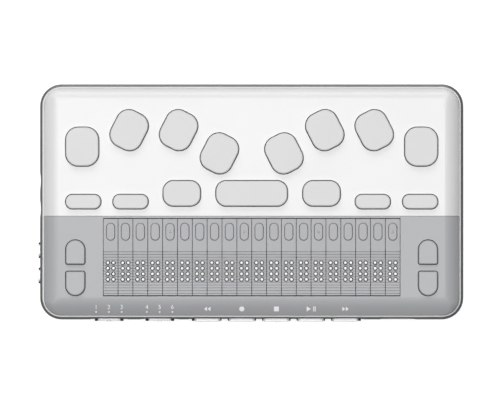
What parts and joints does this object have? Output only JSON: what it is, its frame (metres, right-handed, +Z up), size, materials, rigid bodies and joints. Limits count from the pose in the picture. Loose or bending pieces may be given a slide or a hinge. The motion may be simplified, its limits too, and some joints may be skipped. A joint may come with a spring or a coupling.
{
  "type": "braille display",
  "caption": "Flat refreshable braille display with a braille keyboard, a line of raised-dot cells with routing keys, scroll keys, and media buttons and slide switches along its front.",
  "frame": {"origin": "on the surface under the feet, below the middle of the side frame", "axes": "+X to the user's right, +Y away from the user, +Z up"},
  "size_m": [0.1836, 0.1027, 0.02],
  "materials": {
    "white_cover": "satin moulded plastic, white",
    "grey_deck": "fine-textured moulded plastic, light grey",
    "bright_trim": "satin silver paint",
    "frame": "satin anodised, dark silver",
    "base": "fine-textured moulded plastic, dark grey",
    "grey_cells": "smooth moulded plastic, grey",
    "piezo": "dark moulded cell frames and piezo strips",
    "board": "solder-masked circuit board",
    "battery": "sleeved battery pack",
    "screw_steel": "black zinc plated steel",
    "feet": "soft rubber, matt",
    "white_pins": "polished white plastic",
    "key_grey": "satin moulded plastic, pale grey",
    "grey_keys": "satin moulded plastic, grey",
    "buttons": "satin white plastic"
  },
  "bodies": {
    "case": {"top_cover": "white_cover", "display_deck": "grey_deck", "trim_ring": "bright_trim", "side_frame": "frame", "bottom_cover": "base", "cell_caps": "grey_cells", "cell_actuators": "piezo", "main_board": "board", "battery_pack": "battery", "case_screws": "screw_steel", "rubber_feet": "feet"},
    "dot_1_key": {"dot_1_key": "key_grey"},
    "dot_2_key": {"dot_2_key": "key_grey"},
    "dot_3_key": {"dot_3_key": "key_grey"},
    "dot_4_key": {"dot_4_key": "key_grey"},
    "dot_5_key": {"dot_5_key": "key_grey"},
    "dot_6_key": {"dot_6_key": "key_grey"},
    "dot_7_key": {"dot_7_key": "key_grey"},
    "dot_8_key": {"dot_8_key": "key_grey"},
    "space_key": {"space_key": "key_grey"},
    "control_key": {"control_key": "key_grey"},
    "alt_key": {"alt_key": "key_grey"},
    "function_key_1": {"function_key_1": "key_grey"},
    "function_key_2": {"function_key_2": "key_grey"},
    "function_key_3": {"function_key_3": "key_grey"},
    "function_key_4": {"function_key_4": "key_grey"},
    "scroll_up_left": {"scroll_up_left": "grey_keys"},
    "scroll_down_left": {"scroll_down_left": "grey_keys"},
    "scroll_up_right": {"scroll_up_right": "grey_keys"},
    "scroll_down_right": {"scroll_down_right": "grey_keys"},
    "routing_key_01": {"routing_key_01": "grey_keys"},
    "routing_key_02": {"routing_key_02": "grey_keys"},
    "routing_key_03": {"routing_key_03": "grey_keys"},
    "routing_key_04": {"routing_key_04": "grey_keys"},
    "routing_key_05": {"routing_key_05": "grey_keys"},
    "routing_key_06": {"routing_key_06": "grey_keys"},
    "routing_key_07": {"routing_key_07": "grey_keys"},
    "routing_key_08": {"routing_key_08": "grey_keys"},
    "routing_key_09": {"routing_key_09": "grey_keys"},
    "routing_key_10": {"routing_key_10": "grey_keys"},
    "routing_key_11": {"routing_key_11": "grey_keys"},
    "routing_key_12": {"routing_key_12": "grey_keys"},
    "routing_key_13": {"routing_key_13": "grey_keys"},
    "routing_key_14": {"routing_key_14": "grey_keys"},
    "routing_key_15": {"routing_key_15": "grey_keys"},
    "routing_key_16": {"routing_key_16": "grey_keys"},
    "routing_key_17": {"routing_key_17": "grey_keys"},
    "routing_key_18": {"routing_key_18": "grey_keys"},
    "routing_key_19": {"routing_key_19": "grey_keys"},
    "routing_key_20": {"routing_key_20": "grey_keys"},
    "previous_button": {"previous_button": "buttons"},
    "record_button": {"record_button": "buttons"},
    "stop_button": {"stop_button": "buttons"},
    "play_button": {"play_button": "buttons"},
    "next_button": {"next_button": "buttons"},
    "volume_up_button": {"volume_up_button": "buttons"},
    "volume_down_button": {"volume_down_button": "buttons"},
    "lock_switch": {"lock_switch": "buttons"},
    "mode_switch": {"mode_switch": "buttons"},
    "braille_pins": {"braille_pins": "white_pins"}
  },
  "joints": [
    {"name": "dot_1_key_press", "type": "slide", "parent": "case", "child": "dot_1_key", "axis": [0, 0, -1], "range_m": [0, 0.0012], "stiffness_N_per_m": 350, "springref_m": -0.0006},
    {"name": "dot_2_key_press", "type": "slide", "parent": "case", "child": "dot_2_key", "axis": [0, 0, -1], "range_m": [0, 0.0012], "stiffness_N_per_m": 350, "springref_m": -0.0006},
    {"name": "dot_3_key_press", "type": "slide", "parent": "case", "child": "dot_3_key", "axis": [0, 0, -1], "range_m": [0, 0.0012], "stiffness_N_per_m": 350, "springref_m": -0.0006},
    {"name": "dot_4_key_press", "type": "slide", "parent": "case", "child": "dot_4_key", "axis": [0, 0, -1], "range_m": [0, 0.0012], "stiffness_N_per_m": 350, "springref_m": -0.0006},
    {"name": "dot_5_key_press", "type": "slide", "parent": "case", "child": "dot_5_key", "axis": [0, 0, -1], "range_m": [0, 0.0012], "stiffness_N_per_m": 350, "springref_m": -0.0006},
    {"name": "dot_6_key_press", "type": "slide", "parent": "case", "child": "dot_6_key", "axis": [0, 0, -1], "range_m": [0, 0.0012], "stiffness_N_per_m": 350, "springref_m": -0.0006},
    {"name": "dot_7_key_press", "type": "slide", "parent": "case", "child": "dot_7_key", "axis": [0, 0, -1], "range_m": [0, 0.0012], "stiffness_N_per_m": 350, "springref_m": -0.0006},
    {"name": "dot_8_key_press", "type": "slide", "parent": "case", "child": "dot_8_key", "axis": [0, 0, -1], "range_m": [0, 0.0012], "stiffness_N_per_m": 350, "springref_m": -0.0006},
    {"name": "space_key_press", "type": "slide", "parent": "case", "child": "space_key", "axis": [0, 0, -1], "range_m": [0, 0.0012], "stiffness_N_per_m": 350, "springref_m": -0.0006},
    {"name": "control_key_press", "type": "slide", "parent": "case", "child": "control_key", "axis": [0, 0, -1], "range_m": [0, 0.0012], "stiffness_N_per_m": 350, "springref_m": -0.0006},
    {"name": "alt_key_press", "type": "slide", "parent": "case", "child": "alt_key", "axis": [0, 0, -1], "range_m": [0, 0.0012], "stiffness_N_per_m": 350, "springref_m": -0.0006},
    {"name": "function_key_1_press", "type": "slide", "parent": "case", "child": "function_key_1", "axis": [0, 0, -1], "range_m": [0, 0.0012], "stiffness_N_per_m": 350, "springref_m": -0.0006},
    {"name": "function_key_2_press", "type": "slide", "parent": "case", "child": "function_key_2", "axis": [0, 0, -1], "range_m": [0, 0.0012], "stiffness_N_per_m": 350, "springref_m": -0.0006},
    {"name": "function_key_3_press", "type": "slide", "parent": "case", "child": "function_key_3", "axis": [0, 0, -1], "range_m": [0, 0.0012], "stiffness_N_per_m": 350, "springref_m": -0.0006},
    {"name": "function_key_4_press", "type": "slide", "parent": "case", "child": "function_key_4", "axis": [0, 0, -1], "range_m": [0, 0.0012], "stiffness_N_per_m": 350, "springref_m": -0.0006},
    {"name": "scroll_up_left_press", "type": "slide", "parent": "case", "child": "scroll_up_left", "axis": [0, 0, -1], "range_m": [0, 0.001], "stiffness_N_per_m": 400, "springref_m": -0.0006},
    {"name": "scroll_down_left_press", "type": "slide", "parent": "case", "child": "scroll_down_left", "axis": [0, 0, -1], "range_m": [0, 0.001], "stiffness_N_per_m": 400, "springref_m": -0.0006},
    {"name": "scroll_up_right_press", "type": "slide", "parent": "case", "child": "scroll_up_right", "axis": [0, 0, -1], "range_m": [0, 0.001], "stiffness_N_per_m": 400, "springref_m": -0.0006},
    {"name": "scroll_down_right_press", "type": "slide", "parent": "case", "child": "scroll_down_right", "axis": [0, 0, -1], "range_m": [0, 0.001], "stiffness_N_per_m": 400, "springref_m": -0.0006},
    {"name": "routing_key_01_press", "type": "slide", "parent": "case", "child": "routing_key_01", "axis": [0, 0, -1], "range_m": [0, 0.0005], "stiffness_N_per_m": 800, "springref_m": -0.0004},
    {"name": "routing_key_02_press", "type": "slide", "parent": "case", "child": "routing_key_02", "axis": [0, 0, -1], "range_m": [0, 0.0005], "stiffness_N_per_m": 800, "springref_m": -0.0004},
    {"name": "routing_key_03_press", "type": "slide", "parent": "case", "child": "routing_key_03", "axis": [0, 0, -1], "range_m": [0, 0.0005], "stiffness_N_per_m": 800, "springref_m": -0.0004},
    {"name": "routing_key_04_press", "type": "slide", "parent": "case", "child": "routing_key_04", "axis": [0, 0, -1], "range_m": [0, 0.0005], "stiffness_N_per_m": 800, "springref_m": -0.0004},
    {"name": "routing_key_05_press", "type": "slide", "parent": "case", "child": "routing_key_05", "axis": [0, 0, -1], "range_m": [0, 0.0005], "stiffness_N_per_m": 800, "springref_m": -0.0004},
    {"name": "routing_key_06_press", "type": "slide", "parent": "case", "child": "routing_key_06", "axis": [0, 0, -1], "range_m": [0, 0.0005], "stiffness_N_per_m": 800, "springref_m": -0.0004},
    {"name": "routing_key_07_press", "type": "slide", "parent": "case", "child": "routing_key_07", "axis": [0, 0, -1], "range_m": [0, 0.0005], "stiffness_N_per_m": 800, "springref_m": -0.0004},
    {"name": "routing_key_08_press", "type": "slide", "parent": "case", "child": "routing_key_08", "axis": [0, 0, -1], "range_m": [0, 0.0005], "stiffness_N_per_m": 800, "springref_m": -0.0004},
    {"name": "routing_key_09_press", "type": "slide", "parent": "case", "child": "routing_key_09", "axis": [0, 0, -1], "range_m": [0, 0.0005], "stiffness_N_per_m": 800, "springref_m": -0.0004},
    {"name": "routing_key_10_press", "type": "slide", "parent": "case", "child": "routing_key_10", "axis": [0, 0, -1], "range_m": [0, 0.0005], "stiffness_N_per_m": 800, "springref_m": -0.0004},
    {"name": "routing_key_11_press", "type": "slide", "parent": "case", "child": "routing_key_11", "axis": [0, 0, -1], "range_m": [0, 0.0005], "stiffness_N_per_m": 800, "springref_m": -0.0004},
    {"name": "routing_key_12_press", "type": "slide", "parent": "case", "child": "routing_key_12", "axis": [0, 0, -1], "range_m": [0, 0.0005], "stiffness_N_per_m": 800, "springref_m": -0.0004},
    {"name": "routing_key_13_press", "type": "slide", "parent": "case", "child": "routing_key_13", "axis": [0, 0, -1], "range_m": [0, 0.0005], "stiffness_N_per_m": 800, "springref_m": -0.0004},
    {"name": "routing_key_14_press", "type": "slide", "parent": "case", "child": "routing_key_14", "axis": [0, 0, -1], "range_m": [0, 0.0005], "stiffness_N_per_m": 800, "springref_m": -0.0004},
    {"name": "routing_key_15_press", "type": "slide", "parent": "case", "child": "routing_key_15", "axis": [0, 0, -1], "range_m": [0, 0.0005], "stiffness_N_per_m": 800, "springref_m": -0.0004},
    {"name": "routing_key_16_press", "type": "slide", "parent": "case", "child": "routing_key_16", "axis": [0, 0, -1], "range_m": [0, 0.0005], "stiffness_N_per_m": 800, "springref_m": -0.0004},
    {"name": "routing_key_17_press", "type": "slide", "parent": "case", "child": "routing_key_17", "axis": [0, 0, -1], "range_m": [0, 0.0005], "stiffness_N_per_m": 800, "springref_m": -0.0004},
    {"name": "routing_key_18_press", "type": "slide", "parent": "case", "child": "routing_key_18", "axis": [0, 0, -1], "range_m": [0, 0.0005], "stiffness_N_per_m": 800, "springref_m": -0.0004},
    {"name": "routing_key_19_press", "type": "slide", "parent": "case", "child": "routing_key_19", "axis": [0, 0, -1], "range_m": [0, 0.0005], "stiffness_N_per_m": 800, "springref_m": -0.0004},
    {"name": "routing_key_20_press", "type": "slide", "parent": "case", "child": "routing_key_20", "axis": [0, 0, -1], "range_m": [0, 0.0005], "stiffness_N_per_m": 800, "springref_m": -0.0004},
    {"name": "previous_button_press", "type": "slide", "parent": "case", "child": "previous_button", "axis": [0, 1, 0], "range_m": [0, 0.0005], "stiffness_N_per_m": 1200, "springref_m": -0.0004},
    {"name": "record_button_press", "type": "slide", "parent": "case", "child": "record_button", "axis": [0, 1, 0], "range_m": [0, 0.0005], "stiffness_N_per_m": 1200, "springref_m": -0.0004},
    {"name": "stop_button_press", "type": "slide", "parent": "case", "child": "stop_button", "axis": [0, 1, 0], "range_m": [0, 0.0005], "stiffness_N_per_m": 1200, "springref_m": -0.0004},
    {"name": "play_button_press", "type": "slide", "parent": "case", "child": "play_button", "axis": [0, 1, 0], "range_m": [0, 0.0005], "stiffness_N_per_m": 1200, "springref_m": -0.0004},
    {"name": "next_button_press", "type": "slide", "parent": "case", "child": "next_button", "axis": [0, 1, 0], "range_m": [0, 0.0005], "stiffness_N_per_m": 1200, "springref_m": -0.0004},
    {"name": "volume_up_button_press", "type": "slide", "parent": "case", "child": "volume_up_button", "axis": [1, 0, 0], "range_m": [0, 0.0005], "stiffness_N_per_m": 1200, "springref_m": -0.0004},
    {"name": "volume_down_button_press", "type": "slide", "parent": "case", "child": "volume_down_button", "axis": [1, 0, 0], "range_m": [0, 0.0005], "stiffness_N_per_m": 1200, "springref_m": -0.0004},
    {"name": "lock_switch_slide", "type": "slide", "parent": "case", "child": "lock_switch", "axis": [1, 0, 0], "range_m": [-0.001, 0.001]},
    {"name": "mode_switch_slide", "type": "slide", "parent": "case", "child": "mode_switch", "axis": [1, 0, 0], "range_m": [-0.001, 0.001]},
    {"name": "braille_pins_rise", "type": "slide", "parent": "case", "child": "braille_pins", "axis": [0, 0, 1], "range_m": [-0.0007, 0], "stiffness_N_per_m": 3000, "springref_m": 0.0004}
  ]
}
